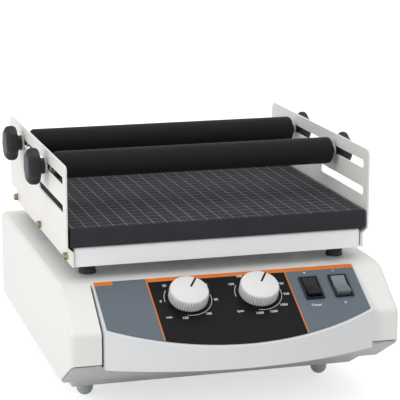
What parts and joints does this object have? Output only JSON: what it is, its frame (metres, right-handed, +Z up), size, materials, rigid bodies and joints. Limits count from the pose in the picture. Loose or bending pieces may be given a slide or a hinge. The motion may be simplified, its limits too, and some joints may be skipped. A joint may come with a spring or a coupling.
{
  "type": "platform shaker",
  "caption": "Low laboratory orbital shaker with a sloping control panel and a matted platform between slotted side plates that hold padded clamping rollers.",
  "frame": {"origin": "on the bench plane, below the middle of the overall box", "axes": "+Z up, +X to the right seen from the front, +Y towards the back; the control panel faces -Y"},
  "size_m": [0.254, 0.314, 0.1864],
  "materials": {
    "aluminium": "turned aluminium",
    "black_rubber": "black rubber",
    "board_green": "glass-fibre board",
    "cast_grey": "grey metal",
    "dial_white": "white moulding with a dark pointer line",
    "foot_rubber": "blue-grey rubber",
    "housing_white": "smooth off-white moulding",
    "knob_black": "black moulding",
    "label_dark": "printed film, grey and black fields",
    "mat_rubber": "black rubber with a fine square grid",
    "pan_grey": "grey coating",
    "panel_white": "smooth off-white moulding",
    "plate_white": "cream-white powder coat",
    "rocker_grey": "dark grey moulding",
    "roller_foam": "black closed-cell foam",
    "steel": "turned or bent steel",
    "switch_black": "black moulding",
    "tray_white": "white powder coat",
    "zinc": "yellowish zinc plating"
  },
  "bodies": {
    "base": {"base_pan": "pan_grey", "housing_shell": "housing_white", "front_panel": "panel_white", "control_label": "label_dark", "drive_bracket": "steel", "drive_motor": "cast_grey", "drive_belt": "black_rubber", "lower_bearing": "steel", "upper_bearing": "steel", "control_board": "board_green", "mains_inlet": "switch_black", "timer_potentiometer": "cast_grey", "speed_potentiometer": "cast_grey", "timer_switch_body": "switch_black", "mains_switch_body": "switch_black", "foot_front_left": "foot_rubber", "foot_back_left": "foot_rubber", "foot_front_right": "foot_rubber", "foot_back_right": "foot_rubber", "buffer_front_left": "black_rubber", "buffer_back_left": "black_rubber", "buffer_front_right": "black_rubber", "buffer_back_right": "black_rubber"},
    "drive": {"eccentric_shaft": "steel", "drive_pulley": "aluminium", "counterweight": "cast_grey"},
    "motor_rotor": {"motor_pulley": "aluminium"},
    "platform": {"tray": "tray_white", "platform_hub": "aluminium", "crank_bearing": "steel", "platform_mat": "mat_rubber", "side_plate_left": "plate_white", "side_plate_right": "plate_white", "plate_screw_left_front": "zinc", "plate_screw_left_middle": "zinc", "plate_screw_left_back": "zinc", "plate_screw_right_front": "zinc", "plate_screw_right_middle": "zinc", "plate_screw_right_back": "zinc"},
    "front_roller": {"front_roller_rod": "steel", "front_roller_core": "aluminium", "front_roller_sleeve": "roller_foam", "front_washer": "zinc"},
    "front_grip_left": {"front_knob_left": "knob_black"},
    "front_grip_right": {"front_knob_right": "knob_black"},
    "back_roller": {"back_roller_rod": "steel", "back_roller_core": "aluminium", "back_roller_sleeve": "roller_foam", "back_washer": "zinc"},
    "back_grip_left": {"back_knob_left": "knob_black"},
    "back_grip_right": {"back_knob_right": "knob_black"},
    "timer_control": {"timer_dial": "dial_white", "timer_spindle": "steel"},
    "speed_control": {"speed_dial": "dial_white", "speed_spindle": "steel"},
    "timer_rocker_key": {"timer_rocker": "switch_black"},
    "mains_rocker_key": {"mains_rocker": "rocker_grey"}
  },
  "joints": [
    {"name": "drive_spin", "type": "hinge", "parent": "base", "child": "drive", "pos_m": [0.0033, 0.026, 0.08], "axis": [0, 0, 1], "continuous": true},
    {"name": "platform_orbit", "type": "hinge", "parent": "drive", "child": "platform", "pos_m": [0.0033, 0.0275, 0.112], "axis": [0, 0, 1], "continuous": true},
    {"name": "motor_spin", "type": "hinge", "parent": "base", "child": "motor_rotor", "pos_m": [0.0513, 0.026, 0.06], "axis": [0, 0, 1], "continuous": true},
    {"name": "front_roller_slide", "type": "slide", "parent": "platform", "child": "front_roller", "axis": [0, 1, 0], "range_m": [-0.0565, 0.032]},
    {"name": "front_knob_left_turn", "type": "hinge", "parent": "front_roller", "child": "front_grip_left", "pos_m": [-0.1227, -0.0145, 0.1724], "axis": [-1, 0, 0], "range_deg": [-360, 360]},
    {"name": "front_knob_right_turn", "type": "hinge", "parent": "front_roller", "child": "front_grip_right", "pos_m": [0.1228, -0.0145, 0.1724], "axis": [1, 0, 0], "range_deg": [-360, 360]},
    {"name": "back_roller_slide", "type": "slide", "parent": "platform", "child": "back_roller", "axis": [0, 1, 0], "range_m": [-0.035, 0.044]},
    {"name": "back_knob_left_turn", "type": "hinge", "parent": "back_roller", "child": "back_grip_left", "pos_m": [-0.1227, 0.0815, 0.1724], "axis": [-1, 0, 0], "range_deg": [-360, 360]},
    {"name": "back_knob_right_turn", "type": "hinge", "parent": "back_roller", "child": "back_grip_right", "pos_m": [0.1228, 0.0815, 0.1724], "axis": [1, 0, 0], "range_deg": [-360, 360]},
    {"name": "timer_dial_turn", "type": "hinge", "parent": "base", "child": "timer_control", "pos_m": [-0.0298, -0.11265, 0.08979], "axis": [0, -0.4772, 0.8788], "range_deg": [-270, 30]},
    {"name": "speed_dial_turn", "type": "hinge", "parent": "base", "child": "speed_control", "pos_m": [0.0228, -0.11265, 0.08979], "axis": [0, -0.4772, 0.8788], "range_deg": [-270, 30]},
    {"name": "timer_rocker_tilt", "type": "hinge", "parent": "base", "child": "timer_rocker_key", "pos_m": [0.0636, -0.11179, 0.08946], "axis": [1, 0, 0], "range_deg": [0, 14]},
    {"name": "mains_rocker_tilt", "type": "hinge", "parent": "base", "child": "mains_rocker_key", "pos_m": [0.0861, -0.11179, 0.08946], "axis": [1, 0, 0], "range_deg": [0, 14]}
  ],
  "couplings": [
    {"joint": "drive_spin", "follows": "platform_orbit", "ratio": -1},
    {"joint": "motor_spin", "follows": "platform_orbit", "ratio": -1.909}
  ]
}
